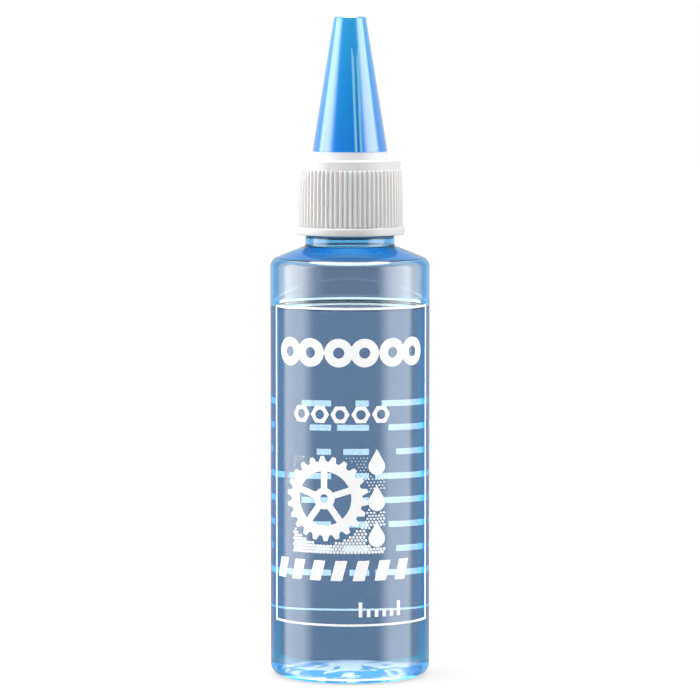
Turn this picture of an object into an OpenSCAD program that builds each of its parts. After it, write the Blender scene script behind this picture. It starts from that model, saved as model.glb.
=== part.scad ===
// Small squeeze bottle for chain lube, with a screwed nozzle cap and a pull-off tip cap.
// Millimetres, +Z up. The origin is on the table at the middle of the base, and the front faces -Y.

/* [Bottle body] */
// Outside diameter of the body
body_d = 33; // [30:0.5:50]
// Wall thickness of the body
body_wall = 0.6; // [0.4:0.05:1]
// Height of the straight side above the table
side_h = 85; // [84:0.5:130]
// Radius of the rounded edge at the foot
foot_r = 2.5; // [1:0.1:3]
// Width of the flat ring that the bottle stands on
foot_ring_w = 1.6; // [1:0.1:3]
// Height of the dome pushed up into the base
punt_h = 2.4; // [1.5:0.1:5]
// Thickness of the base
base_t = 1.1; // [0.7:0.1:2]
// Diameter of the moulding gate left at the middle of the base
gate_d = 3; // [2:0.1:5]
// Height of the moulding gate
gate_h = 0.6; // [0.3:0.1:1]

/* [Shoulder and neck] */
// Radius of the rounded edge between side and shoulder
shoulder_edge_r = 2; // [1.2:0.1:3]
// Rise of the shoulder above level, in degrees
shoulder_rise = 21.8; // [14:0.1:32]
// Outside diameter of the plain band below the cap
neck_band_d = 18.4; // [17.8:0.1:22]
// Height of the plain band above the shoulder
neck_band_h = 2; // [1.2:0.1:6]
// Radius of the hollow corner between shoulder and neck band
neck_fillet_r = 0.6; // [0.3:0.1:1]
// Radius inside, where the shoulder turns up into the neck
neck_root_r = 0.8; // [0.4:0.1:2]
// Diameter of the neck under its thread
finish_d = 15.9; // [15.4:0.1:16.4]
// Diameter of the hole through the neck
mouth_d = 13.2; // [11.5:0.1:13.6]

/* [Screw thread] */
// Rise of the thread in one turn
thread_pitch = 3.18; // [2.8:0.02:3.6]
// Turns of thread on the neck
neck_thread_turns = 1.75; // [1:0.25:2]
// Turns of thread in the cap
cap_thread_turns = 1.5; // [1:0.25:1.75]
// Height that the neck's thread stands out of the neck
neck_thread_h = 0.95; // [0.8:0.05:1.1]
// Width of both threads at their root
thread_root_w = 1.45; // [1.2:0.05:1.5]
// Width of both threads at their crest
thread_crest_w = 0.7; // [0.5:0.05:0.9]
// Distance from the mouth down to the upper end of the neck's thread
thread_drop = 1.6; // [1.2:0.1:2.5]

/* [Lube] */
// Level of the lube above the table
fill_level = 76.5; // [60:0.5:82]

/* [Nozzle cap] */
// Height of the cap without its collar
cap_h = 15.35; // [14.5:0.05:18]
// Wall thickness between the bore and the valleys of the ribs
cap_wall = 1.35; // [1:0.05:2]
// Thickness of the cap's top
cap_top_t = 1.3; // [1:0.1:2]
// Number of grip ribs
rib_count = 68; // [48:1:80]
// Share of each step that is rib
rib_share = 0.55; // [0.4:0.05:0.65]
// Height of a rib at its foot
rib_low_h = 0.6; // [0.4:0.05:0.9]
// Height of a rib at its top
rib_high_h = 0.4; // [0.25:0.05:0.6]
// Height of the plain band under the ribs
foot_band_h = 1.65; // [1:0.05:2.5]
// How far the foot band stands out past the ribs
foot_band_out = 0.36; // [0.1:0.02:0.6]
// Height of the plain band over the ribs
top_band_h = 1.95; // [1:0.05:3]
// Chamfer on the edges of the cap and of the mouth
cap_edge = 0.3; // [0.1:0.05:0.4]
// Height of the collar that the tip cap sits on
collar_h = 1.75; // [1:0.05:3]
// How far the collar stands out past the tip cap's rim
collar_out = 0.05; // [0:0.05:0.5]
// Flare of the collar from its foot to its top
collar_flare = 0.12; // [0:0.02:0.3]

/* [Spout] */
// Diameter of the tapered boss that the tip cap grips, at its foot
boss_d = 13.2; // [12:0.1:14]
// Height of the boss
boss_h = 4; // [3:0.1:6]
// Wall thickness of the spout
spout_wall = 1.2; // [1:0.1:1.5]
// Outside diameter of the spout at its tip
spout_tip_d = 3; // [2.8:0.1:3.4]
// Diameter of the hole that the lube leaves by
orifice_d = 1.4; // [1:0.1:1.6]
// Length of that hole
orifice_l = 4; // [3:0.1:6]

/* [Sealing liner] */
// Thickness of the liner
liner_t = 0.9; // [0.6:0.1:1.5]

/* [Tip cap] */
// Height of the tip cap
tip_h = 27.7; // [24:0.1:36]
// Diameter of the tip cap at its top
tip_top_d = 6.54; // [6.2:0.02:8]
// Wall thickness of the tip cap
tip_wall = 1.1; // [0.9:0.05:1.3]
// Thickness of the tip cap's top
tip_top_t = 1.2; // [0.8:0.1:2]
// Radius of the rounded top edge
tip_edge_r = 0.4; // [0.2:0.05:0.6]
// Height of the space between the spout's tip and the tip cap's ceiling
tip_head_gap = 4; // [3:0.1:5]
// Diameter of the plug around the sealing pin
plug_d = 2.8; // [2.2:0.1:3.2]
// How far the sealing pin reaches into the spout
pin_reach = 2.6; // [1.5:0.1:2.8]
// Width of each raised line on the tip cap
line_w = 0.5; // [0.3:0.05:0.8]
// Distance between the two raised lines, middle to middle
line_step = 1.04; // [0.9:0.02:2]
// How far the raised lines stand out
line_out = 0.25; // [0.1:0.05:0.4]
// Length of the raised lines, from the rim up
line_h = 21.1; // [10:0.1:22]
// Direction of the raised lines, in degrees from the front towards +X
line_turn = 13; // [-180:1:180]

/* [Print] */
// Thickness of the printed ink
ink_t = 0.06; // [0.04:0.01:0.12]
// Width of the thin frame lines
frame_line = 0.42; // [0.3:0.02:0.8]
// Height of the frame's lower edge above the table
frame_low = 12.2; // [8:0.1:16]
// Height of the frame's upper edge above the table
frame_high = 77.4; // [76:0.1:80]
// Turn of the frame's left edge from the front, in degrees
frame_left = 67; // [60:1:70]
// Turn of the frame's right edge from the front, in degrees
frame_right = 71; // [60:1:75]

/* [Clearances] */
// Gap between the neck band and the cap's foot
cap_foot_gap = 0.3; // [0.2:0.05:0.6]
// Gap around the threads
thread_gap = 0.2; // [0.15:0.05:0.3]
// Gap between the liner and what is round it
liner_gap = 0.12; // [0.08:0.02:0.2]
// Gap between the boss and the tip cap
tip_gap = 0.05; // [0.03:0.01:0.15]
// Gap between the spout's cone and the tip cap
spout_gap = 0.6; // [0.3:0.05:1]
// Gap between the sealing pin and the hole
pin_gap = 0.1; // [0.05:0.01:0.2]
// Gap between the lube and the wall
fill_gap = 0.03; // [0.02:0.01:0.1]

/* [Hidden] */
$fn = 96;

// Steps in a rounded corner, and in one turn of a thread
arc_steps = 7;
turn_steps = 30;
// Reach of cutting and joining shapes past the surface that they meet
past = 0.5;

// Bottle
body_r = body_d / 2;
cavity_r = body_r - body_wall;
foot_in_r = foot_r - body_wall / 2;
punt_r = body_r - foot_r - foot_ring_w;
punt_curve_r = (punt_r * punt_r + punt_h * punt_h) / (2 * punt_h);
finish_r = finish_d / 2;
mouth_r = mouth_d / 2;
band_r = neck_band_d / 2;
edge_x = body_r - shoulder_edge_r;

// The shoulder's slope is a straight line from the end of its edge arc
slope_x = edge_x + shoulder_edge_r * sin(shoulder_rise);
slope_z = side_h + shoulder_edge_r * cos(shoulder_rise);
function slope_at(x) = slope_z + (slope_x - x) * tan(shoulder_rise);
fillet_x = band_r + neck_fillet_r;
fillet_z = slope_at(fillet_x) + neck_fillet_r / cos(shoulder_rise);

// Heights up the closure
band_top_z = slope_at(band_r) + neck_band_h;
cap_z = band_top_z + cap_foot_gap;
ceiling_z = cap_z + cap_h - cap_top_t;
mouth_z = ceiling_z - liner_t;
collar_z = cap_z + cap_h;
tip_z = collar_z + collar_h;
boss_top_z = tip_z + boss_h;
tip_top_z = tip_z + tip_h;
tip_ceiling_z = tip_top_z - tip_top_t;
spout_z = tip_ceiling_z - tip_head_gap;

// Cap
thread_r = finish_r + neck_thread_h;
bore_r = thread_r + thread_gap;
valley_r = bore_r + cap_wall;
rib_low_r = valley_r + rib_low_h;
rib_high_r = valley_r + rib_high_h;
foot_band_r = rib_low_r + foot_band_out;
rib_low_z = cap_z + foot_band_h;
rib_high_z = cap_z + cap_h - top_band_h;
rib_step = 360 / rib_count;

// Tip cap and spout
boss_r = boss_d / 2;
rim_r = boss_r + tip_gap + tip_wall;
tip_top_r = tip_top_d / 2;
collar_r = rim_r + collar_out;
function tip_r_at(z) = rim_r - (rim_r - tip_top_r) * (z - tip_z) / tip_h;
function grip_r_at(z) = tip_r_at(z) - tip_wall;
function boss_r_at(z) = grip_r_at(z) - tip_gap;
cone_z = boss_top_z + spout_wall;
cone_r = grip_r_at(cone_z) - spout_gap;
spout_tip_r = spout_tip_d / 2;
orifice_r = orifice_d / 2;
hollow_r = boss_r_at(boss_top_z) - spout_wall;
pin_r = orifice_r - pin_gap;
plug_r = plug_d / 2;

// Threads: the cap's runs in the groove of the neck's, half a pitch lower
neck_thread_z = mouth_z - thread_drop - neck_thread_turns * thread_pitch;
cap_thread_z = neck_thread_z - thread_pitch / 2;
cap_thread_r = finish_r + thread_gap;
thread_fade = 30;

// Print
degrees_per_mm = 180 / (PI * body_r);

// Points of an arc about a centre, from one angle to another
function arc(x, z, r, from, to) = [
  for (i = [0:arc_steps]) let (a = from + (to - from) * i / arc_steps) [x + r * cos(a), z + r * sin(a)]
];

// Points of the dome, from the middle outwards, raised by a height
function dome(r, lift) = [
  for (i = [0:arc_steps]) let (x = r * i / arc_steps)
    [x, punt_h + lift - punt_curve_r + sqrt(punt_curve_r * punt_curve_r - x * x)]
];

// Outside of the bottle from the dome up to the mouth's outer edge
function bottle_outline() = concat(
  dome(punt_r, 0),
  arc(body_r - foot_r, foot_r, foot_r, -90, 0),
  arc(edge_x, side_h, shoulder_edge_r, 0, 90 - shoulder_rise),
  arc(fillet_x, fillet_z, neck_fillet_r, 270 - shoulder_rise, 180),
  [
    [band_r, band_top_z - cap_edge],
    [band_r - cap_edge, band_top_z],
    [finish_r, band_top_z + cap_edge],
    [finish_r, mouth_z - cap_edge],
    [finish_r - cap_edge, mouth_z]
  ]
);

// Inside of the bottle from the dome up to the foot of the neck, set in by a gap
function cavity_outline(gap) = let (
  r = cavity_r - gap,
  low = base_t + gap,
  edge = shoulder_edge_r - body_wall
) concat(
  dome(punt_r, low),
  arc(r - foot_in_r, low + foot_in_r, foot_in_r, -90, 0),
  arc(r - edge, side_h, edge, 0, 90 - shoulder_rise)
);

// The cavity's turn from the shoulder up into the neck
root_x = mouth_r + neck_root_r;
root_z = slope_at(root_x) + (neck_root_r - body_wall) / cos(shoulder_rise);
function cavity_top() = concat(
  arc(root_x, root_z, neck_root_r, 270 - shoulder_rise, 180),
  [[mouth_r, mouth_z + past], [0, mouth_z + past]]
);

// A helical thread: a ring of four corners for each step, faded out at both ends
function thread_points(root, crest, z, turns) = [
  for (i = [0:turns * turn_steps]) let (
    a = 360 * i / turn_steps,
    fade = min(1, a / thread_fade, (360 * turns - a) / thread_fade),
    buried = crest > root ? -past / 2 : past / 2,
    top = root + buried / 2 + (crest - root - buried / 2) * fade,
    mid = z + thread_pitch * i / turn_steps
  ) each [
    [(root + buried) * cos(a), (root + buried) * sin(a), mid - thread_root_w / 2],
    [top * cos(a), top * sin(a), mid - thread_crest_w / 2],
    [top * cos(a), top * sin(a), mid + thread_crest_w / 2],
    [(root + buried) * cos(a), (root + buried) * sin(a), mid + thread_root_w / 2]
  ]
];

// Sides between neighbouring rings, as triangles, and the two end faces
function thread_faces(rings) = concat(
  [[3, 2, 1, 0]],
  [
    for (i = [0:rings - 2], k = [0:3]) let (a = 4 * i + k, b = 4 * i + (k + 1) % 4)
      each [[a, b, b + 4], [a, b + 4, a + 4]]
  ],
  [[for (k = [0:3]) 4 * (rings - 1) + k]]
);

module thread(root, crest, z, turns) {
  points = thread_points(root, crest, z, turns);
  faces = thread_faces(len(points) / 4);
  polyhedron(points, crest > root ? faces : [for (f = faces) [for (i = [len(f) - 1:-1:0]) f[i]]]);
}

module bottle() {
  color([0.62, 0.76, 0.9, 0.45]) {
    difference() {
      union() {
        rotate_extrude()
          polygon(concat(bottle_outline(), [[0, mouth_z]]));
        translate([0, 0, punt_h - gate_h])
          cylinder(d = gate_d, h = gate_h + base_t / 2);
      }
      rotate_extrude()
        polygon(concat(cavity_outline(0), cavity_top()));
    }
    thread(finish_r, thread_r, neck_thread_z, neck_thread_turns);
  }
}

// The lube ends at its level, which lies on the straight side
module lube_fill() {
  color([0.36, 0.5, 0.64, 0.8])
    rotate_extrude()
      polygon(concat(
        [for (p = cavity_outline(fill_gap)) [p[0], min(p[1], fill_level)]],
        [[0, fill_level]]
      ));
}

// A patch of ink between two turns and two heights
module ink_patch(from, to, low, high, grow = 0) {
  rotate([0, 0, from - 90])
    rotate_extrude(angle = to - from)
      translate([body_r - grow, low])
        square([ink_t + 2 * grow, high - low]);
}

// Prints a flat drawing on the front, at a distance round the wall and a height
module stamp(x, z) {
  intersection() {
    rotate([0, 0, x * degrees_per_mm])
      translate([0, past - body_r * cos(45), z])
        rotate([90, 0, 0])
          linear_extrude(body_r)
            children();
    difference() {
      translate([0, 0, z - stamp_reach])
        cylinder(r = body_r + ink_t, h = 2 * stamp_reach);
      translate([0, 0, z - stamp_reach - past])
        cylinder(r = body_r, h = 2 * (stamp_reach + past));
    }
  }
}

module ink_frame(left, right) {
  side = frame_line * degrees_per_mm;
  difference() {
    ink_patch(-left, right, frame_low, frame_high);
    ink_patch(side - left, right - side, frame_low + frame_line, frame_high - frame_line, past);
  }
}

// Places and sizes of the printed motifs, in millimetres round the wall and above the table
stamp_reach = 14;
chain_z = 68.2;
chain_r = 2.9;
chain_pitch = 5.3;
chain_hole_r = 1.15;
chain_waist = 2.6;
chain_step = 11.5;
chain_middle = 0.35;
nut_z = 55.6;
nut_r = 1.95;
nut_hole_r = 1;
nut_step = 4.3;
nut_count = 5;
nut_left = -12.6;
ring_x = -5.4;
ring_z = 38.4;
ring_teeth = 22;
ring_root_r = 7.6;
ring_tip_r = 8.7;
ring_hole_r = 5.6;
hub_r = 2.2;
hub_hole_r = 0.9;
arm_w = 1.3;
arm_count = 5;
drop_x = 5.6;
drop_low = 30.2;
drop_step = 7.4;
drop_r = 1.75;
drop_count = 3;
dash_z = 23.6;
dash_h = 4.1;
dash_w = 2.4;
dash_lean = 1.1;
dash_step = 4.6;
dash_count = 7;
dash_left = -16.1;
tick_z = 14.1;
tick_left = 1.8;
tick_step = 1.7;
tick_w = 0.7;
tick_h = 3;
tick_short = 1.5;
tick_count = 6;
row_low = 19.6;
row_step = 5.1;
row_count = 8;
row_h = 1.25;
bar_count = 11;
bar_gap = 1.7;
row_left = 58;

module chain_plate() {
  difference() {
    union() {
      for (side = [-1, 1])
        translate([side * chain_pitch / 2, 0])
          circle(chain_r);
      square([chain_pitch, chain_waist], center = true);
    }
    for (side = [-1, 1])
      translate([side * chain_pitch / 2, 0])
        circle(chain_hole_r);
  }
}

module nut() {
  difference() {
    circle(nut_r, $fn = 6);
    circle(nut_hole_r);
  }
}

module chainring() {
  tooth = 360 / ring_teeth;
  difference() {
    polygon([
      for (i = [0:ring_teeth - 1], p = [[0, ring_root_r], [0.3, ring_root_r], [0.5, ring_tip_r], [0.8, ring_tip_r]])
        let (a = (i + p[0]) * tooth) [p[1] * cos(a), p[1] * sin(a)]
    ]);
    circle(ring_hole_r);
  }
}

module spider() {
  difference() {
    union() {
      circle(hub_r);
      for (i = [0:arm_count - 1])
        rotate(i * 360 / arm_count + 90)
          translate([0, -arm_w / 2])
            square([ring_hole_r + past, arm_w]);
    }
    circle(hub_hole_r);
  }
}

// A drop is a circle with a point that leaves it at its tangents
module drop(r) {
  circle(r);
  polygon([[-r * cos(30), r * sin(30)], [0, 2 * r], [r * cos(30), r * sin(30)]]);
}

module front_print() {
  color("white") {
    ink_frame(frame_left, frame_right);
    for (i = [-1:1])
      stamp(chain_middle + i * chain_step, chain_z)
        chain_plate();
    for (i = [0:nut_count - 1])
      stamp(nut_left + nut_r + i * nut_step, nut_z)
        nut();
    stamp(ring_x, ring_z) {
      chainring();
      spider();
    }
    for (i = [0:drop_count - 1])
      stamp(drop_x, drop_low + i * drop_step)
        drop(drop_r);
    for (i = [0:dash_count - 1])
      stamp(dash_left + i * dash_step, dash_z)
        polygon([
          [-dash_w / 2 - dash_lean / 2, -dash_h / 2],
          [dash_w / 2 - dash_lean / 2, -dash_h / 2],
          [dash_w / 2 + dash_lean / 2, dash_h / 2],
          [-dash_w / 2 + dash_lean / 2, dash_h / 2]
        ]);
    for (i = [0:tick_count - 1]) {
      a = (tick_left + i * tick_step) * degrees_per_mm;
      ink_patch(a, a + tick_w * degrees_per_mm, tick_z, tick_z + (i % 5 == 0 ? tick_h : tick_short));
    }
  }
}

// The back carries rows of plain bars, whose lengths vary by a rule
module back_print() {
  color("white")
    rotate([0, 0, 180]) {
      ink_frame(frame_left, frame_left);
      for (i = [0:row_count - 1], k = [0:bar_count - 1]) {
        step = 2 * row_left / bar_count;
        from = k * step - row_left;
        cut = bar_gap * (1 + (3 * i + 2 * k) % 4);
        ink_patch(from, from + step - cut, row_low + i * row_step, row_low + i * row_step + row_h);
      }
    }
}

// A ring of ribs with straight flanks, cut to the slope of their crests
module ribs() {
  half = rib_step * rib_share / 2;
  tall = rib_high_z - rib_low_z;
  translate([0, 0, rib_low_z - past])
    intersection() {
      linear_extrude(tall + past)
        polygon([
          for (
            i = [0:rib_count - 1],
            p = [[-half, valley_r], [-half, rib_low_r + past], [half, rib_low_r + past], [half, valley_r]]
          )
            let (a = i * rib_step + p[0], r = p[1]) [r * cos(a), r * sin(a)]
        ]);
      cylinder(
        r1 = rib_low_r + (rib_low_r - rib_high_r) * past / tall,
        r2 = rib_high_r,
        h = tall + past
      );
    }
}

module nozzle_cap() {
  color([0.94, 0.94, 0.93]) {
    difference() {
      union() {
        rotate_extrude()
          polygon([
            [0, cap_z],
            [foot_band_r - cap_edge, cap_z],
            [foot_band_r, cap_z + cap_edge],
            [foot_band_r, rib_low_z - cap_edge / 2],
            [foot_band_r - cap_edge / 2, rib_low_z],
            [valley_r - cap_edge, rib_low_z],
            [valley_r - cap_edge, rib_high_z - past],
            [valley_r, rib_high_z - past / 2],
            [valley_r, collar_z - cap_edge],
            [valley_r - cap_edge, collar_z],
            [collar_r - collar_flare, collar_z],
            [collar_r, tip_z],
            [boss_r, tip_z],
            [boss_r_at(boss_top_z - cap_edge), boss_top_z - cap_edge],
            [boss_r_at(boss_top_z) - cap_edge, boss_top_z],
            [cone_r, cone_z],
            [spout_tip_r, spout_z - cap_edge],
            [spout_tip_r - cap_edge, spout_z],
            [0, spout_z]
          ]);
        ribs();
      }
      rotate_extrude()
        polygon([
          [0, cap_z - past],
          [bore_r + cap_edge + past, cap_z - past],
          [bore_r, cap_z + cap_edge],
          [bore_r, ceiling_z],
          [hollow_r, ceiling_z],
          [hollow_r, boss_top_z - spout_wall],
          [cone_r - spout_wall, cone_z],
          [orifice_r, spout_z - orifice_l],
          [orifice_r, spout_z + past],
          [0, spout_z + past]
        ]);
    }
    thread(bore_r, cap_thread_r, cap_thread_z, cap_thread_turns);
  }
}

module sealing_liner() {
  color([0.86, 0.87, 0.86])
    difference() {
      translate([0, 0, mouth_z])
        cylinder(r = bore_r - liner_gap, h = liner_t);
      translate([0, 0, mouth_z - past])
        cylinder(r = hollow_r + liner_gap, h = liner_t + 2 * past);
    }
}

// One raised line along the cone's side, at a distance to the side of the pair's middle
module raised_line(shift) {
  top = tip_z + line_h;
  full = top - line_out * 4;
  rotate([0, 0, line_turn - 90])
    translate([0, shift, 0])
      rotate([90, 0, 0])
        linear_extrude(line_w, center = true)
          polygon([
            [tip_r_at(tip_z) - tip_wall / 2, tip_z],
            [tip_r_at(tip_z) + line_out, tip_z],
            [tip_r_at(full) + line_out, full],
            [tip_r_at(top) - line_out / 4, top],
            [tip_r_at(top) - tip_wall / 2, top]
          ]);
}

module tip_cap() {
  color([0.05, 0.47, 0.9]) {
    difference() {
      union() {
        rotate_extrude()
          polygon(concat(
            [[0, tip_z], [rim_r, tip_z]],
            arc(tip_r_at(tip_top_z - tip_edge_r) - tip_edge_r, tip_top_z - tip_edge_r, tip_edge_r, 0, 90),
            [[0, tip_top_z]]
          ));
        for (side = [-1, 1])
          raised_line(side * line_step / 2);
      }
      rotate_extrude()
        polygon([
          [0, tip_z - past],
          [grip_r_at(tip_z - past), tip_z - past],
          [grip_r_at(tip_ceiling_z), tip_ceiling_z],
          [0, tip_ceiling_z]
        ]);
    }
    rotate_extrude()
      polygon([
        [0, spout_z - pin_reach],
        [pin_r, spout_z - pin_reach],
        [pin_r, spout_z + tip_gap],
        [plug_r, spout_z + tip_gap],
        [plug_r, tip_ceiling_z + tip_top_t / 2],
        [0, tip_ceiling_z + tip_top_t / 2]
      ]);
  }
}

bottle();
lube_fill();
front_print();
back_print();
nozzle_cap();
sealing_liner();
tip_cap();
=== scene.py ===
import math

import bmesh
import bpy
from mathutils import Matrix, Vector


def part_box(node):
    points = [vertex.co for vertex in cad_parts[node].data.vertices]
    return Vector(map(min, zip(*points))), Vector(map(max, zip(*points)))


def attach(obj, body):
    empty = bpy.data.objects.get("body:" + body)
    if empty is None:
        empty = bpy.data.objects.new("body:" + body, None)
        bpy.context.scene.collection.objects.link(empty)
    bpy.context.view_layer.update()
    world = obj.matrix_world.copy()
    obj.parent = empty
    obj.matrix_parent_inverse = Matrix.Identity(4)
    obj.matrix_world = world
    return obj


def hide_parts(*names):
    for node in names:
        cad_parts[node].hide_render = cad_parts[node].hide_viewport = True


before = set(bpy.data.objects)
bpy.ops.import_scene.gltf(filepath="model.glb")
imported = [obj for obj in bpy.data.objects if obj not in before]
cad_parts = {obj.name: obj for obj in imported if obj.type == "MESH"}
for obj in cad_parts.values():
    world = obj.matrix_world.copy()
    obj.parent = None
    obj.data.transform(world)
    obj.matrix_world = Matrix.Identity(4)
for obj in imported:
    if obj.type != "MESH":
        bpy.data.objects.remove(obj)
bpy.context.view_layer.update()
print("frame loaded:", ", ".join(sorted(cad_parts)))
bpy.context.scene.view_settings.view_transform = "Standard"

fullTurn = 2 * math.pi
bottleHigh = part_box("bottle")[1]
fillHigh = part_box("lube_fill")[1]
capLow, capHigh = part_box("nozzle_cap")
tipLow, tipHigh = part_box("tip_cap")


# Shape helpers

def roundCorner(form, vert, bend, steps):
    # the operator wants the cut along each edge, so it is worked out from the corner's angle
    ways = [(edge.other_vert(vert).co - vert.co) for edge in vert.link_edges]
    cut = bend / math.tan(ways[0].angle(ways[1]) / 2)
    bmesh.ops.bevel(form, geom=[vert], offset=cut, offset_type="OFFSET", segments=steps,
                    profile=0.5, affect="VERTICES", material=-1)


def spinOutline(corners, segments, steps=6, closed=False, form=None, finish=0):
    # each corner is its distance from the axis, its height and the radius it is rounded to
    form = form or bmesh.new()
    earlier = set(form.verts) | set(form.edges) | set(form.faces)
    verts = [form.verts.new((x, 0, z)) for x, z, bend in corners]
    pairs = list(zip(verts, verts[1:]))
    if closed:
        pairs.append((verts[-1], verts[0]))
    for pair in pairs:
        form.edges.new(pair)
    for vert, (x, z, bend) in zip(verts, corners):
        if bend:
            roundCorner(form, vert, bend, steps)
    wire = [item for item in form.verts[:] + form.edges[:] if item not in earlier]
    bmesh.ops.spin(form, geom=wire, cent=(0, 0, 0), axis=(0, 0, 1), dvec=(0, 0, 0),
                   angle=fullTurn, steps=segments, use_merge=True)
    for face in form.faces:
        if face not in earlier:
            face.material_index = finish
    return form


def finishPiece(name, form, material, body, stands=(), sharpAngle=None):
    bmesh.ops.remove_doubles(form, verts=form.verts, dist=1e-7)
    bmesh.ops.recalc_face_normals(form, faces=form.faces)
    mesh = bpy.data.meshes.new(name)
    form.to_mesh(mesh)
    form.free()
    mesh.shade_smooth()
    if sharpAngle:
        mesh.set_sharp_from_angle(angle=math.radians(sharpAngle))
    for finish in material if isinstance(material, list) else [material]:
        mesh.materials.append(finish)
    piece = bpy.data.objects.new(name, mesh)
    bpy.context.scene.collection.objects.link(piece)
    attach(piece, body)
    if stands:
        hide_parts(*stands)
    print("piece:", name, len(mesh.polygons), "faces")
    return piece


# Material helpers

def newMaterial(name, roughness, **values):
    material = bpy.data.materials.new(name)
    material.use_nodes = True
    shader = material.node_tree.nodes["Principled BSDF"]
    shader.inputs["Roughness"].default_value = roughness
    for socket, value in values.items():
        shader.inputs[socket.replace("_", " ")].default_value = value
    return material, material.node_tree, shader


def addNode(tree, kind, **values):
    node = tree.nodes.new(kind)
    for name, value in values.items():
        if name in node.inputs:
            node.inputs[name].default_value = value
        else:
            setattr(node, name, value)
    return node


def addRamp(tree, stops, factor):
    ramp = tree.nodes.new("ShaderNodeValToRGB")
    elements = ramp.color_ramp.elements
    while len(elements) < len(stops):
        elements.new(0.5)
    for element, (place, colour) in zip(elements, stops):
        element.position = place
        element.color = (*colour, 1)
    tree.links.new(factor, ramp.inputs["Fac"])
    return ramp


def heightFactor(tree, low, high):
    place = tree.nodes.new("ShaderNodeTexCoord")
    split = tree.nodes.new("ShaderNodeSeparateXYZ")
    tree.links.new(place.outputs["Object"], split.inputs[0])
    span = addNode(tree, "ShaderNodeMapRange")
    span.inputs["From Min"].default_value = low
    span.inputs["From Max"].default_value = high
    tree.links.new(split.outputs["Z"], span.inputs["Value"])
    return span.outputs["Result"]


def addGrain(tree, kind, **values):
    # a texture laid through the piece itself
    grain = addNode(tree, kind, **values)
    tree.links.new(tree.nodes.new("ShaderNodeTexCoord").outputs["Object"], grain.inputs["Vector"])
    return grain


def addBump(tree, shader, scale, strength):
    noise = addGrain(tree, "ShaderNodeTexNoise", Scale=scale, Detail=3.0)
    bump = addNode(tree, "ShaderNodeBump", Strength=strength, Distance=0.0001)
    tree.links.new(noise.outputs["Fac"], bump.inputs["Height"])
    tree.links.new(bump.outputs["Normal"], shader.inputs["Normal"])


def mixOf(tree, kind, inputs, factor, first, second):
    mix = addNode(tree, "ShaderNodeMix", data_type=kind)
    for name, value in zip(("Factor", *inputs), (factor, first, second)):
        if isinstance(value, (int, float)):
            mix.inputs[name].default_value = value
        elif isinstance(value, tuple):
            mix.inputs[name].default_value = (*value, 1)
        else:
            tree.links.new(value, mix.inputs[name])
    return mix


def mixValues(tree, factor, first, second):
    return mixOf(tree, "FLOAT", (2, 3), factor, first, second).outputs[0]


def mixColours(tree, factor, first, second):
    return mixOf(tree, "RGBA", (6, 7), factor, first, second).outputs[2]


def smoothStep(tree, value, ends):
    # from 0 below the first end to 1 above the second
    fade = addNode(tree, "ShaderNodeMapRange", interpolation_type="SMOOTHSTEP")
    fade.inputs["From Min"].default_value = ends[0]
    fade.inputs["From Max"].default_value = ends[1]
    tree.links.new(value, fade.inputs["Value"])
    return fade.outputs["Result"]


def kindOfRay(tree, kinds):
    # 1 for the named kinds of ray, 0 for the rest
    path = tree.nodes.new("ShaderNodeLightPath")
    result = path.outputs[kinds[0]]
    for kind in kinds[1:]:
        either = addNode(tree, "ShaderNodeMath", operation="MAXIMUM")
        tree.links.new(result, either.inputs[0])
        tree.links.new(path.outputs[kind], either.inputs[1])
        result = either.outputs[0]
    return result


def distanceFromAxis(tree):
    flat = addNode(tree, "ShaderNodeVectorMath", operation="MULTIPLY")
    flat.inputs[1].default_value = (1, 1, 0)
    reach = addNode(tree, "ShaderNodeVectorMath", operation="LENGTH")
    tree.links.new(tree.nodes.new("ShaderNodeTexCoord").outputs["Object"], flat.inputs[0])
    tree.links.new(flat.outputs[0], reach.inputs[0])
    return reach.outputs["Value"]


# Camera: the photograph's eye is a little above the tip cap and looks slightly down

cameraSet = {"lens": 211.8, "distance": 0.853, "tiltDeg": 4.52, "aimHeight": 0.06755}


def placeCamera():
    tilt = math.radians(cameraSet["tiltDeg"])
    data = bpy.data.cameras.new("camera")
    data.lens = cameraSet["lens"]
    data.sensor_width = 36
    data.clip_start = 0.01
    data.clip_end = 50
    camera = bpy.data.objects.new("camera", data)
    bpy.context.scene.collection.objects.link(camera)
    back = cameraSet["distance"] * math.cos(tilt)
    rise = cameraSet["distance"] * math.sin(tilt)
    camera.location = (0, -back, cameraSet["aimHeight"] + rise)
    camera.rotation_euler = (math.pi / 2 - tilt, 0, 0)
    bpy.context.scene.camera = camera


# Studio: a round white table, a white world, and a tall soft box on each side

studioSet = {
    "tableRadius": 3.0,
    "tableSides": 128,
    "tableShade": 0.45,
    "tableGlow": 0.6,
    # painted pool of light on the table under the clear foot, and the distances over which it fades
    "footGlow": 2.2,
    "footFade": (0.013, 0.018),
    "turnDeg": 5.75,
    "boxRiseDeg": (44, 70),
    "boxFallDeg": (97, 110),
    "boxFadeUp": (0.4, 0.62),
    "mirrored": {"front": 0.1, "box": 4.7, "back": 0.7, "top": 13.0, "topFade": (0.82, 0.88)},
    "shed": {"front": 0.15, "box": 4.6, "back": 0.5, "top": 1.8, "topFade": (0.68, 0.85)},
    "leftGain": 0.25,
}


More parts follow.
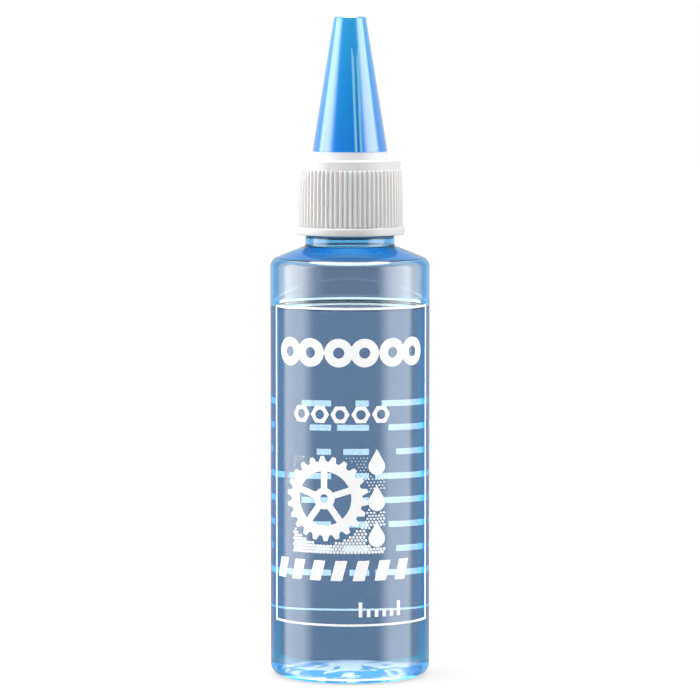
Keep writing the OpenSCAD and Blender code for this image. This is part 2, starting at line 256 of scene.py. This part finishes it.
def buildWorld():
    world = bpy.data.worlds.new("studioWorld")
    world.use_nodes = True
    bpy.context.scene.world = world
    tree = world.node_tree
    glow = tree.nodes["Background"]
    glow.inputs["Color"].default_value = (1, 1, 1, 1)
    way = tree.nodes.new("ShaderNodeTexCoord").outputs["Generated"]
    split = tree.nodes.new("ShaderNodeSeparateXYZ")
    tree.links.new(way, split.inputs[0])
    flat = addNode(tree, "ShaderNodeVectorMath", operation="MULTIPLY")
    flat.inputs[1].default_value = (1, 1, 0)
    unit = addNode(tree, "ShaderNodeVectorMath", operation="NORMALIZE")
    front = addNode(tree, "ShaderNodeVectorMath", operation="DOT_PRODUCT")
    turn = math.radians(studioSet["turnDeg"])
    front.inputs[1].default_value = (-math.sin(turn), -math.cos(turn), 0)
    angle = addNode(tree, "ShaderNodeMath", operation="ARCCOSINE")
    tree.links.new(way, flat.inputs[0])
    tree.links.new(flat.outputs[0], unit.inputs[0])
    tree.links.new(unit.outputs[0], front.inputs[0])
    tree.links.new(front.outputs["Value"], angle.inputs[0])
    rise = smoothStep(tree, angle.outputs[0], [math.radians(end) for end in studioSet["boxRiseDeg"]])
    fall = smoothStep(tree, angle.outputs[0], [math.radians(end) for end in studioSet["boxFallDeg"]])
    high = smoothStep(tree, split.outputs["Z"], studioSet["boxFadeUp"])

    def levels(s):
        box = mixValues(tree, fall, mixValues(tree, rise, s["front"], s["box"]), s["back"])
        sides = mixValues(tree, high, box, mixValues(tree, fall, s["front"], s["back"]))
        return mixValues(tree, smoothStep(tree, split.outputs["Z"], s["topFade"]), sides, s["top"])

    left = addNode(tree, "ShaderNodeMath", operation="MULTIPLY_ADD")
    tree.links.new(split.outputs["X"], left.inputs[0])
    left.inputs[1].default_value = -studioSet["leftGain"]
    left.inputs[2].default_value = 1
    shed = addNode(tree, "ShaderNodeMath", operation="MULTIPLY")
    tree.links.new(levels(studioSet["shed"]), shed.inputs[0])
    tree.links.new(left.outputs[0], shed.inputs[1])
    glossy = kindOfRay(tree, ["Is Glossy Ray"])
    soft = mixValues(tree, glossy, shed.outputs[0], levels(studioSet["mirrored"]))
    seen = kindOfRay(tree, ["Is Camera Ray", "Is Transmission Ray"])
    tree.links.new(mixValues(tree, seen, soft, 1.0), glow.inputs["Strength"])


def buildTable():
    form = bmesh.new()
    bmesh.ops.create_circle(form, cap_ends=True, segments=studioSet["tableSides"],
                            radius=studioSet["tableRadius"])
    mesh = bpy.data.meshes.new("roundTable")
    form.to_mesh(mesh)
    form.free()
    table = bpy.data.objects.new("roundTable", mesh)
    bpy.context.scene.collection.objects.link(table)
    material, tree, shader = newMaterial("paleTable", 0.9)
    shader.inputs["Base Color"].default_value = (*[studioSet["tableShade"]] * 3, 1)
    shader.inputs["Specular IOR Level"].default_value = 0
    shader.inputs["Emission Color"].default_value = (1, 1, 1, 1)
    # the white table glows brighter under the clear foot: a painted pool of light for the light that
    # gathers there
    away = smoothStep(tree, distanceFromAxis(tree), studioSet["footFade"])
    under = mixValues(tree, away, studioSet["footGlow"], studioSet["tableGlow"])
    looked = kindOfRay(tree, ["Is Camera Ray", "Is Glossy Ray"])
    plain = mixValues(tree, looked, 0.0, studioSet["tableGlow"])
    through = kindOfRay(tree, ["Is Transmission Ray"])
    tree.links.new(mixValues(tree, through, plain, under), shader.inputs["Emission Strength"])
    mesh.materials.append(material)
    table.visible_glossy = False  # so that the soft boxes mirror in the bottle down to its foot


placeCamera()
buildWorld()
buildTable()
print("camera and studio ready")


# Bottle: one clear shell, from under the base up the outside to the mouth and down the inside

bottleSet = {
    "bodyRadius": bottleHigh.x,
    "wall": 0.0006,
    "footBend": 0.0025,
    "footTop": 0.003,
    "ringRadius": 0.0124,
    "ringWidth": 0.0016,
    "domeHeight": 0.0024,
    "domeBend": 0.038,
    "ringBend": 0.0008,
    "baseThickness": 0.0011,
    "shoulderHeight": 0.085,
    "shoulderRiseDeg": 21.8,
    "shoulderBend": 0.002,
    "neckRadius": 0.0092,
    "neckBend": 0.0006,
    "neckBandHeight": 0.002,
    "finishRadius": 0.00795,
    "mouthRadius": 0.0066,
    "bandWall": 0.0008,
    "finishWall": 0.0008,
    "ledge": 0.00035,
    "ledgeBend": 0.0002,
    "edge": 0.0003,
    "segments": 192,
    "cornerSteps": 10,
}


def shoulderHeightAt(radius, inset=0):
    # height of the shoulder's straight slope at a distance from the axis
    rise = math.radians(bottleSet["shoulderRiseDeg"])
    bend = bottleSet["shoulderBend"]
    slopeRadius = bottleSet["bodyRadius"] - bend + bend * math.sin(rise)
    slopeHeight = bottleSet["shoulderHeight"] + bend * math.cos(rise)
    return slopeHeight + (slopeRadius - radius) * math.tan(rise) - inset / math.cos(rise)


def buildBottle(materials):
    s = bottleSet
    band = shoulderHeightAt(s["neckRadius"]) + s["neckBandHeight"]
    mouth, body, inner = bottleHigh.z, s["bodyRadius"], s["bodyRadius"] - s["wall"]
    wide, root = s["neckRadius"] - s["bandWall"], s["finishRadius"] - s["finishWall"]
    flat = s["ringRadius"] + s["ringWidth"] - s["edge"] / 3
    form = spinOutline([
        (0, s["domeHeight"], 0),
        (s["ringRadius"] / 2, s["domeHeight"], s["domeBend"]),
        (s["ringRadius"], 0, s["ringBend"]),
        (flat, 0, 0),
    ], s["segments"], s["cornerSteps"], finish=2)
    spinOutline([
        (flat, 0, 0),
        (body, 0, s["footBend"]),
        (body, s["footTop"], 0),
    ], s["segments"], s["cornerSteps"], form=form, finish=3)
    spinOutline([
        (body, s["footTop"], 0),
        (body, shoulderHeightAt(body), s["shoulderBend"]),
        (s["neckRadius"], shoulderHeightAt(s["neckRadius"]), s["neckBend"]),
        (s["neckRadius"], band, s["edge"]),
        (s["finishRadius"], band, s["edge"]),
        (s["finishRadius"], mouth, s["edge"]),
        (s["mouthRadius"], mouth, 0),
    ], s["segments"], s["cornerSteps"], form=form)
    spinOutline([
        (s["mouthRadius"], mouth, 0),
        (s["mouthRadius"], band + s["neckBandHeight"], s["ledgeBend"]),
        (root, band + s["neckBandHeight"] / 2, s["ledgeBend"]),
        (root, band - s["ledge"], s["ledgeBend"]),
        (wide, band - s["ledge"], s["ledgeBend"]),
        (wide, shoulderHeightAt(wide, s["wall"]), s["ledgeBend"]),
        (inner, shoulderHeightAt(inner, s["wall"]), s["shoulderBend"] - s["wall"]),
        (inner, s["baseThickness"], s["footBend"] - s["wall"]),
        (s["ringRadius"], s["baseThickness"], s["ringBend"]),
        (s["ringRadius"] / 2, s["domeHeight"] + s["baseThickness"], s["domeBend"]),
        (0, s["domeHeight"] + s["baseThickness"], 0),
    ], s["segments"], s["cornerSteps"], form=form, finish=1)
    return finishPiece("bottleShell", form, materials, "bottle", ["bottle"], 60)


# Threads: a four-cornered ridge wound round the neck, and one in the cap's groove

threadSet = {
    "pitch": 0.00318,
    "height": 0.00095,
    "rootWidth": 0.00145,
    "crestWidth": 0.0007,
    "buried": 0.00025,
    "gap": 0.0002,
    "mouthDrop": 0.0016,
    "neckTurns": 1.75,
    "capTurns": 1.5,
    "stepsPerTurn": 40,
    "fadeDeg": 30,
}


def windThread(root, crest, start, turns):
    # from the buried foot to the crest, which sinks at both ends
    s = threadSet
    steps = int(turns * s["stepsPerTurn"])
    form = bmesh.new()
    towards = math.copysign(1, crest - root)
    inner = root - towards * s["buried"]
    corners = [(inner, -s["rootWidth"]), (crest, -s["crestWidth"]),
               (crest, s["crestWidth"]), (inner, s["rootWidth"])]
    ring = [form.verts.new((r, 0, start + z / 2)) for r, z in corners]
    face = form.faces.new(ring)
    turnStep = Matrix.Rotation(fullTurn / s["stepsPerTurn"], 4, "Z")
    lift = Vector((0, 0, s["pitch"] / s["stepsPerTurn"]))
    rings = [ring]
    for step in range(steps):
        made = bmesh.ops.extrude_face_region(form, geom=[face])["geom"]
        verts = [item for item in made if isinstance(item, bmesh.types.BMVert)]
        bmesh.ops.transform(form, matrix=Matrix.Translation(lift) @ turnStep, verts=verts)
        if step:
            form.faces.remove(face)
        face = next(item for item in made if isinstance(item, bmesh.types.BMFace))
        rings.append(verts)
    for index, verts in enumerate(rings):
        turned = 360 * index / s["stepsPerTurn"]
        left = 360 * turns - turned
        fade = min(1, turned / s["fadeDeg"], left / s["fadeDeg"])
        for vert in verts:
            reach = vert.co.xy.length
            if abs(reach - crest) < abs(reach - inner):
                low = root - towards * s["buried"] / 2
                vert.co.xy *= (low + (crest - low) * fade) / reach
    return form


def buildThreads(bottleMaterial, capMaterial):
    s = threadSet
    neckStart = bottleHigh.z - s["mouthDrop"] - s["neckTurns"] * s["pitch"]
    finish = bottleSet["finishRadius"]
    form = windThread(finish, finish + s["height"], neckStart, s["neckTurns"])
    finishPiece("neckThread", form, bottleMaterial, "bottle", (), 40)
    bore = finish + s["height"] + s["gap"]
    form = windThread(bore, finish + s["gap"], neckStart - s["pitch"] / 2, s["capTurns"])
    finishPiece("capThread", form, capMaterial, "nozzle_cap", (), 40)


# Lube: fills the shell a hair into its wall, and climbs it at the rim

lubeSet = {
    "overlap": 0.00006,
    "climb": 0.00035,
    "climbWidth": 0.0012,
    "segments": 192,
    "cornerSteps": 10,
    "bend": 1.46,
    "surface": (0.97, 0.985, 1),
    "body": (0.09, 0.28, 0.48),
    "density": 35,
}


def buildLube(materials):
    s, b = lubeSet, bottleSet
    radius = b["bodyRadius"] - b["wall"] + s["overlap"]
    low, level = b["baseThickness"] - s["overlap"], fillHigh.z
    form = spinOutline([
        (0, b["domeHeight"] + low, 0),
        (b["ringRadius"] / 2, b["domeHeight"] + low, b["domeBend"]),
        (b["ringRadius"], low, b["ringBend"]),
        (radius, low, b["footBend"] - b["wall"]),
        (radius, level + s["climb"], 0),
    ], s["segments"], s["cornerSteps"])
    spinOutline([
        (radius, level + s["climb"], 0),
        (radius - s["climbWidth"] / 4, level, s["climbWidth"]),
        (0, level, 0),
    ], s["segments"], s["cornerSteps"], form=form, finish=1)
    return finishPiece("lubeBody", form, materials, "bottle", ["lube_fill"], 50)


# Nozzle cap: ribbed skirt, collar and bore in one shell

capSet = {
    "boreRadius": 0.0091,
    "valleyRadius": 0.01045,
    "ribLow": 0.0006,
    "ribHigh": 0.0004,
    "ribCount": 68,
    "ribSamples": 8,
    "ribHalf": 0.29,
    "ribSharpness": 34,
    "footBand": 0.00165,
    "topBand": 0.00195,
    "collar": 0.00175,
    "height": 0.01535,
    "topThickness": 0.0013,
    "edge": 0.0003,
    "collarRadius": 0.0078,
    "collarFlare": 0.00012,
    "collarBend": 0.0002,
    "collarEdge": 0.00015,
    "hollowRadius": 0.00475,
    "ribRows": 8,
    "fadeRows": (0.7, 0.4, 0.15, 0),
    "cornerSteps": 4,
}


def ribHeight(vert, low, high):
    # how far a point of the skirt stands out on its rib, rounded across and at both ends
    s = capSet
    turned = math.atan2(vert.co.y, vert.co.x) / fullTurn * s["ribCount"]
    across = abs((turned + 0.5) % 1 - 0.5)
    rounded = 1 / (1 + math.exp((across - s["ribHalf"]) * s["ribSharpness"]))
    along = (vert.co.z - low) / (high - low)
    height = s["ribLow"] + (s["ribHigh"] - s["ribLow"]) * along
    topFade = min(1, max(0, (high - vert.co.z) / s["edge"]))
    return height * rounded * math.sqrt(topFade)


def buildCapShell(material):
    s = capSet
    foot = capLow.z
    top = foot + s["height"]
    low, high = foot + s["footBand"], top - s["topBand"]
    ceiling = top - s["topThickness"]
    lowest = low + s["edge"]
    rowStep = (high - s["edge"] - lowest) / s["ribRows"]
    rows = [lowest + rowStep * row for row in range(s["ribRows"] + 1)]
    rows += [high - share * s["edge"] for share in s["fadeRows"]]
    form = spinOutline([
        (s["boreRadius"], ceiling, 0),
        (s["boreRadius"], foot, s["edge"]),
        (capHigh.x, foot, s["edge"]),
        (capHigh.x, low, s["edge"]),
        (s["valleyRadius"], low, 0),
        *[(s["valleyRadius"], z, 0) for z in rows],
        (s["valleyRadius"], top, s["edge"]),
        (s["collarRadius"] - s["collarFlare"], top, s["collarBend"]),
        (s["collarRadius"], top + s["collar"], s["collarEdge"]),
        (s["hollowRadius"], top + s["collar"], 0),
        (s["hollowRadius"], ceiling, 0),
    ], s["ribCount"] * s["ribSamples"], s["cornerSteps"], True)
    for vert in form.verts:
        reach = vert.co.xy.length
        if abs(reach - s["valleyRadius"]) < 1e-6 and low + s["edge"] / 2 < vert.co.z < high:
            vert.co.xy *= 1 + ribHeight(vert, low, high) / reach
    return finishPiece("capSkirt", form, material, "nozzle_cap", ["nozzle_cap"], 60)


# Spout: tapered boss and cone with the orifice, moulded on the cap

spoutSet = {
    "bossHeight": 0.004,
    "wall": 0.0012,
    "gap": 0.00005,
    "coneGap": 0.0006,
    "tipRadius": 0.0015,
    "orificeRadius": 0.0007,
    "orificeLength": 0.004,
    "orificeEdge": 0.0001,
    "edge": 0.0003,
    "segments": 96,
    "cornerSteps": 5,
}


def tipRadiusAt(z):
    # outside radius of the tip cap at a height
    share = (z - tipLow.z) / (tipHigh.z - tipLow.z)
    return tipSet["rimRadius"] + (tipSet["topRadius"] - tipSet["rimRadius"]) * share


def buildSpout(material):
    s = spoutSet
    foot = tipLow.z
    root = foot - capSet["topThickness"]
    bossTop = foot + s["bossHeight"]
    coneStart = bossTop + s["wall"]
    coneRadius = tipRadiusAt(coneStart) - tipSet["wall"] - s["coneGap"]
    grip = tipSet["wall"] + s["gap"]
    form = spinOutline([
        (capSet["hollowRadius"], root, 0),
        (tipRadiusAt(foot) - grip, root, 0),
        (tipRadiusAt(foot) - grip, foot, 0),
        (tipRadiusAt(bossTop) - grip, bossTop, s["edge"]),
        (coneRadius, coneStart, s["edge"]),
        (s["tipRadius"], capHigh.z, s["edge"]),
        (s["orificeRadius"], capHigh.z, s["orificeEdge"]),
        (s["orificeRadius"], capHigh.z - s["orificeLength"], s["edge"]),
        (coneRadius - s["wall"], coneStart, s["edge"]),
        (capSet["hollowRadius"], bossTop - s["wall"], s["edge"]),
    ], s["segments"], s["cornerSteps"], True)
    return finishPiece("spoutCone", form, material, "nozzle_cap", (), 60)


# Tip cap: hollow cone with a plug and pin inside, and two fine lines outside

tipSet = {
    "rimRadius": 0.00775,
    "topRadius": 0.00327,
    "wall": 0.0011,
    "topThickness": 0.0012,
    "edge": 0.0004,
    "rimEdge": 0.0001,
    "headGap": 0.004,
    "plugRadius": 0.0014,
    "pinRadius": 0.0006,
    "pinReach": 0.0026,
    "lineWidth": 0.0005,
    "lineStep": 0.00104,
    "lineOut": 0.00025,
    "lineHeight": 0.0211,
    "lineTurnDeg": 13,
    "blues": ((0.004, 0.29, 0.95), (0.008, 0.37, 1.0), (0.03, 0.48, 1.0)),
    # the two fine lines are a lighter blue than the cone: painted highlight for the light their raised
    # edges catch
    "lineHighlightBlues": ((0.24, 0.7, 1.0), (0.26, 0.73, 1.0), (0.28, 0.76, 1.0)),
    "lineDepth": 3,
    "lineSlope": 1.2,
    "lineRound": 0.95,
    "segments": 160,
}


def buildTipCap(material):
    s = tipSet
    low, high = tipLow.z, tipHigh.z
    ceiling = high - s["topThickness"]
    seat = ceiling - s["headGap"] + spoutSet["gap"]
    form = spinOutline([
        (0, high, 0),
        (s["topRadius"], high, s["edge"]),
        (s["rimRadius"], low, s["rimEdge"]),
        (s["rimRadius"] - s["wall"], low, s["rimEdge"]),
        (tipRadiusAt(ceiling) - s["wall"], ceiling, s["edge"]),
        (s["plugRadius"], ceiling, s["edge"]),
        (s["plugRadius"], seat, s["rimEdge"]),
        (s["pinRadius"], seat, s["rimEdge"]),
        (s["pinRadius"], seat - s["pinReach"], s["rimEdge"] * 2),
        (0, seat - s["pinReach"], 0),
    ], s["segments"])
    return finishPiece("tipShell", form, material, "tip_cap", ["tip_cap"], 60)


def buildTipLine(name, shift, material):
    # a thin bar with rounded edges, leant to the cone's side and turned to its place
    s = tipSet
    form = bmesh.new()
    bmesh.ops.create_cube(form, size=1)
    depth = s["lineOut"] * s["lineDepth"]
    lean = math.atan2(s["rimRadius"] - s["topRadius"], tipHigh.z - tipLow.z)
    length = s["lineHeight"] / math.cos(lean)
    bmesh.ops.scale(form, vec=(s["lineWidth"], depth, length), verts=form.verts)
    topFront = [vert for vert in form.verts if vert.co.z > 0 and vert.co.y < 0]
    bmesh.ops.translate(form, vec=(0, s["lineOut"] * s["lineSlope"], 0), verts=topFront)
    bmesh.ops.translate(form, vec=(0, depth / 2 - s["lineOut"], length / 2), verts=form.verts)
    upright = [edge for edge in form.edges
               if edge.verts[0].co.y < 0 and edge.verts[1].co.y < 0
               and abs(edge.verts[0].co.z - edge.verts[1].co.z) > length / 2]
    bmesh.ops.bevel(form, geom=upright, offset=s["lineOut"] * s["lineRound"], offset_type="OFFSET",
                    segments=5, profile=0.5, affect="EDGES", material=-1)
    bmesh.ops.rotate(form, cent=(0, 0, 0), matrix=Matrix.Rotation(-lean, 3, "X"), verts=form.verts)
    bmesh.ops.translate(form, vec=(shift, -s["rimRadius"], tipLow.z + s["rimEdge"]), verts=form.verts)
    turn = Matrix.Rotation(math.radians(s["lineTurnDeg"]), 3, "Z")
    bmesh.ops.rotate(form, cent=(0, 0, 0), matrix=turn, verts=form.verts)
    return finishPiece(name, form, material, "tip_cap", (), 60)


# Halftone: rows of small printed dots round the chainring, that shrink upwards

dotSet = {
    "step": 0.00072,
    "left": -0.0126,
    "right": 0.0082,
    "low": 0.0274,
    "high": 0.0475,
    "radius": 0.00031,
    "least": 0.00008,
    "thickness": 0.00005,
    "sides": 8,
    "clear": (  # round the chainring and the three drops: middle along and up, radius
        (-0.0054, 0.0384, 0.0094),
        (0.0056, 0.0305, 0.0024),
        (0.0056, 0.0379, 0.0024),
        (0.0056, 0.0453, 0.0024),
    ),
}


def buildDots(material):
    s = dotSet
    wall = bottleSet["bodyRadius"]
    form = bmesh.new()
    rowStep = s["step"] * math.sqrt(3) / 2
    span = s["high"] - s["low"]
    upright = Matrix.Rotation(math.pi / 2, 4, "X")
    for row in range(int(span / rowStep)):
        z = s["low"] + row * rowStep
        radius = s["radius"] + (s["least"] - s["radius"]) * (z - s["low"]) / span
        stand = Matrix.Translation((0, -wall - s["thickness"] / 2, z)) @ upright
        for place in range(int((s["right"] - s["left"]) / s["step"])):
            x = s["left"] + (place + row % 2 / 2) * s["step"]
            if any(math.hypot(x - cx, z - cz) < reach for cx, cz, reach in s["clear"]):
                continue
            turn = Matrix.Rotation(x / wall, 4, "Z")
            bmesh.ops.create_cone(form, cap_ends=True, segments=s["sides"], radius1=radius,
                                  radius2=radius, depth=s["thickness"], matrix=turn @ stand)
    return finishPiece("printDots", form, material, "bottle", (), 40)


# Materials

petSet = {
    "bend": 1.57,
    "footBend": 1.3,
    "baseBend": 1.0,
    "roughness": 0.01,
    # tints of the inside: over the lube, beside it and up the shoulder, with the heights they start at;
    # those picked by facing are painted light and shade
    "air": (0.08, 0.14, 0.25),
    "airLit": (0.42, 0.48, 0.56),
    "airStart": (0.0006, 0.002),
    "lube": (0.32, 0.43, 0.56),
    "lubeLit": (0.2, 0.32, 0.48),
    "lubeEdge": (0.1, 0.75, 1.0),
    "lubeLow": (0.06, 0.85, 1.0),
    "floor": (0.9, 0.97, 1.0),
    "shoulder": (0.12, 0.5, 0.97),
    "shoulderGloss": (0.2, 0.55, 1.0),
    "shoulderStart": (0.0856, 0.0866),
    "neck": (0.06, 0.36, 0.66),
    "neckStart": (0.0885, 0.0891),
    # heights where the wall turns a lighter azure towards the base: painted light gathering in the foot
    "footLight": (0.006, 0.014),
    "shineFade": 0.0001,
    # how far the inside turns away where each tint takes over, painting light and shade across the wall
    "litFacing": (0.05, 0.15),
    "lubeEdgeFacing": (0.2, 0.235),
    "floorFacing": (0.4, 0.5),
    # the outside, from face on to edge on
    "body": ((0.0, (0.97, 0.985, 1.0)), (0.36, (0.93, 0.97, 1.0)), (0.48, (0.5, 0.78, 1.0)),
             (0.58, (0.02, 0.28, 0.85)), (0.85, (0.008, 0.2, 0.82)), (1.0, (0.06, 0.36, 0.9))),
    # painted light: the foot's edges are a lighter azure than the body's
    "foot": ((0.36, (0.93, 0.97, 1.0)), (0.6, (0.02, 0.52, 1.0)), (1.0, (0.03, 0.42, 1.0))),
    "gloss": ((0.38, (1, 1, 1)), (0.56, (0.12, 0.42, 0.95)), (1.0, (0.04, 0.26, 0.9))),
    # painted light and shade under the base: white where light comes up through it, bluer away from the
    # middle
    "patchScale": 140.0,
    "patchTwist": 1.6,
    "bluerPerMetre": 20,
    "paintedLightPatches": ((0.6, (0.94, 0.98, 1.0)), (0.66, (0.03, 0.26, 0.62))),
}


def heightStep(tree, ends):
    # from 0 below the first height to 1 above the second
    top = bottleHigh.z
    return smoothStep(tree, heightFactor(tree, 0, top), [end / top for end in ends])


def clearPet(name, bend):
    # the outside of the wall: nearly clear, bluer where it is seen edge on, and a lighter azure near the
    # base that is painted light gathering in the foot
    s = petSet
    material, tree, shader = newMaterial(name, s["roughness"], Transmission_Weight=1, IOR=bend)
    facing = addNode(tree, "ShaderNodeLayerWeight", Blend=0.5).outputs["Facing"]
    body, foot, gloss = [addRamp(tree, s[part], facing).outputs["Color"]
                         for part in ("body", "foot", "gloss")]
    tint = mixColours(tree, heightStep(tree, s["footLight"]), foot, body)
    tree.links.new(tint, shader.inputs["Base Color"])
    tree.links.new(gloss, shader.inputs["Specular Tint"])
    return material


def basePet():
    # under the dome the light comes straight up from the table, painted on as uneven white and blue
    # blotches of light and shade
    s = petSet
    material, tree, shader = newMaterial("basePet", s["roughness"], Transmission_Weight=1,
                                         IOR=s["baseBend"])
    cloud = addGrain(tree, "ShaderNodeTexNoise", Scale=s["patchScale"], Detail=2.0,
                     Distortion=s["patchTwist"])
    reach = addGrain(tree, "ShaderNodeVectorMath", operation="LENGTH")
    bluer = addNode(tree, "ShaderNodeMath", operation="MULTIPLY_ADD")
    bluer.inputs[1].default_value = s["bluerPerMetre"]
    tree.links.new(reach.outputs["Value"], bluer.inputs[0])
    tree.links.new(cloud.outputs["Fac"], bluer.inputs[2])
    tint = addRamp(tree, s["paintedLightPatches"], bluer.outputs["Value"])
    tree.links.new(tint.outputs["Color"], shader.inputs["Base Color"])
    return material


def tintedPet():
    # the inside of the wall carries the tint, with painted light and shade by how far it turns away, and
    # shines only above the lube
    s = petSet
    material, tree, shader = newMaterial("tintedPet", s["roughness"], Transmission_Weight=1,
                                         IOR=s["bend"])
    level = fillHigh.z
    facing = addNode(tree, "ShaderNodeLayerWeight", Blend=0.5).outputs["Facing"]
    lit, edge, floor = [smoothStep(tree, facing, s[part])
                        for part in ("litFacing", "lubeEdgeFacing", "floorFacing")]
    up, neckUp = heightStep(tree, s["shoulderStart"]), heightStep(tree, s["neckStart"])
    air = mixColours(tree, lit, s["air"], s["airLit"])
    lubeEdge = mixColours(tree, heightStep(tree, s["footLight"]), s["lubeLow"], s["lubeEdge"])
    lube = mixColours(tree, edge, mixColours(tree, lit, s["lube"], s["lubeLit"]), lubeEdge)
    lube = mixColours(tree, floor, lube, s["floor"])
    tint = mixColours(tree, heightStep(tree, [level + rise for rise in s["airStart"]]), lube, air)
    slope = mixColours(tree, neckUp, s["shoulder"], s["neck"])
    tree.links.new(mixColours(tree, up, tint, slope), shader.inputs["Base Color"])
    white, black = (1.0, 1.0, 1.0), (0.0, 0.0, 0.0)
    gloss = mixColours(tree, up, white, mixColours(tree, neckUp, s["shoulderGloss"], white))
    shine = heightStep(tree, (level - s["shineFade"], level + s["shineFade"]))
    tree.links.new(mixColours(tree, shine, black, gloss), shader.inputs["Specular Tint"])
    return material


def paleLube(name, shine):
    # its sides touch the wall and mirror nothing, its top does
    material, tree, shader = newMaterial(name, 0.0, Transmission_Weight=1, IOR=lubeSet["bend"])
    shader.inputs["Base Color"].default_value = (*lubeSet["surface"], 1)
    shader.inputs["Specular Tint"].default_value = (shine, shine, shine, 1)
    body = tree.nodes.new("ShaderNodeVolumeAbsorption")
    body.inputs["Color"].default_value = (*lubeSet["body"], 1)
    body.inputs["Density"].default_value = lubeSet["density"]
    tree.links.new(body.outputs[0], tree.nodes["Material Output"].inputs["Volume"])
    return material


def whiteMoulding():
    material, tree, shader = newMaterial("whiteMoulding", 0.38, Subsurface_Weight=0.25,
                                         Subsurface_Scale=0.0012, IOR=1.49)
    cloud = addGrain(tree, "ShaderNodeTexNoise", Scale=160.0, Detail=2.0)
    tint = addRamp(tree, [(0.3, (0.86, 0.87, 0.87)), (0.7, (0.9, 0.9, 0.9))], cloud.outputs["Fac"])
    tree.links.new(tint.outputs["Color"], shader.inputs["Base Color"])
    addBump(tree, shader, 2600, 0.12)
    return material


def blueMoulding(name, blues):
    # its colour at the rim, a little under half way up and at the top
    material, tree, shader = newMaterial(name, 0.2, Coat_Weight=1, Coat_Roughness=0.06, Coat_IOR=1.6,
                                         Subsurface_Weight=0.15, Subsurface_Scale=0.001, IOR=1.65)
    factor = heightFactor(tree, tipLow.z, tipHigh.z)
    tint = addRamp(tree, list(zip((0.0, 0.45, 1.0), blues)), factor)
    tree.links.new(tint.outputs["Color"], shader.inputs["Base Color"])
    addBump(tree, shader, 900, 0.05)
    return material


# painted light: how strongly and in what colour each side of the ink glows
inkSet = {
    "wallSideGlow": 5.0,
    "wallSideLight": (1.0, 0.88, 0.68),
    "outsideGlow": 0.3,
    "outsideLight": (1.0, 1.0, 1.0),
    "through": (0.00001, 0.00005),
}


def glowingWhiteInk():
    # painted light: the side that lies on the wall glows warm, standing in for ink lit through a full
    # bottle, and the outside glows faintly too
    s = inkSet
    material, tree, shader = newMaterial("glowingWhiteInk", 0.5)
    grain = addGrain(tree, "ShaderNodeTexNoise", Scale=2200.0, Detail=2.0)
    tint = addRamp(tree, [(0.35, (0.9, 0.91, 0.93)), (0.6, (0.97, 0.98, 0.98))], grain.outputs["Fac"])
    tree.links.new(tint.outputs["Color"], shader.inputs["Base Color"])
    outer = smoothStep(tree, distanceFromAxis(tree), [bottleHigh.x + out for out in s["through"]])
    glow = mixValues(tree, outer, s["wallSideGlow"], s["outsideGlow"])
    tree.links.new(glow, shader.inputs["Emission Strength"])
    light = mixColours(tree, outer, s["wallSideLight"], s["outsideLight"])
    tree.links.new(light, shader.inputs["Emission Color"])
    return material


def linerFoam():
    material, tree, shader = newMaterial("linerFoam", 0.75)
    cells = addGrain(tree, "ShaderNodeTexVoronoi", Scale=3500.0)
    tint = addRamp(tree, [(0.0, (0.7, 0.71, 0.7)), (0.6, (0.84, 0.85, 0.84))], cells.outputs["Distance"])
    tree.links.new(tint.outputs["Color"], shader.inputs["Base Color"])
    addBump(tree, shader, 3000, 0.3)
    return material


# in the order of the numbers that buildBottle gives its outlines
petMaterials = [clearPet("clearPet", petSet["bend"]), tintedPet(), basePet(),
                clearPet("footPet", petSet["footBend"])]
lubeMaterials = [paleLube("lubeSide", 0), paleLube("lubeTop", 1)]
whiteMaterial = whiteMoulding()
blueMaterial = blueMoulding("blueMoulding", tipSet["blues"])
lineHighlightMaterial = blueMoulding("lineHighlightMoulding", tipSet["lineHighlightBlues"])
inkMaterial = glowingWhiteInk()
foamMaterial = linerFoam()
print("materials ready")

buildBottle(petMaterials)
buildThreads(petMaterials[0], whiteMaterial)
buildLube(lubeMaterials)
buildCapShell(whiteMaterial)
buildSpout(whiteMaterial)
buildTipCap(blueMaterial)
buildDots(inkMaterial)
for lineName, lineSide in (("tipLineLeft", -0.5), ("tipLineRight", 0.5)):
    buildTipLine(lineName, lineSide * tipSet["lineStep"], lineHighlightMaterial)

# CAD nodes that keep their shape get their finish here
for nodeName, nodeMaterial in (("front_print", inkMaterial), ("back_print", inkMaterial),
                               ("sealing_liner", foamMaterial)):
    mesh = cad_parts[nodeName].data
    mesh.materials.clear()
    mesh.materials.append(nodeMaterial)
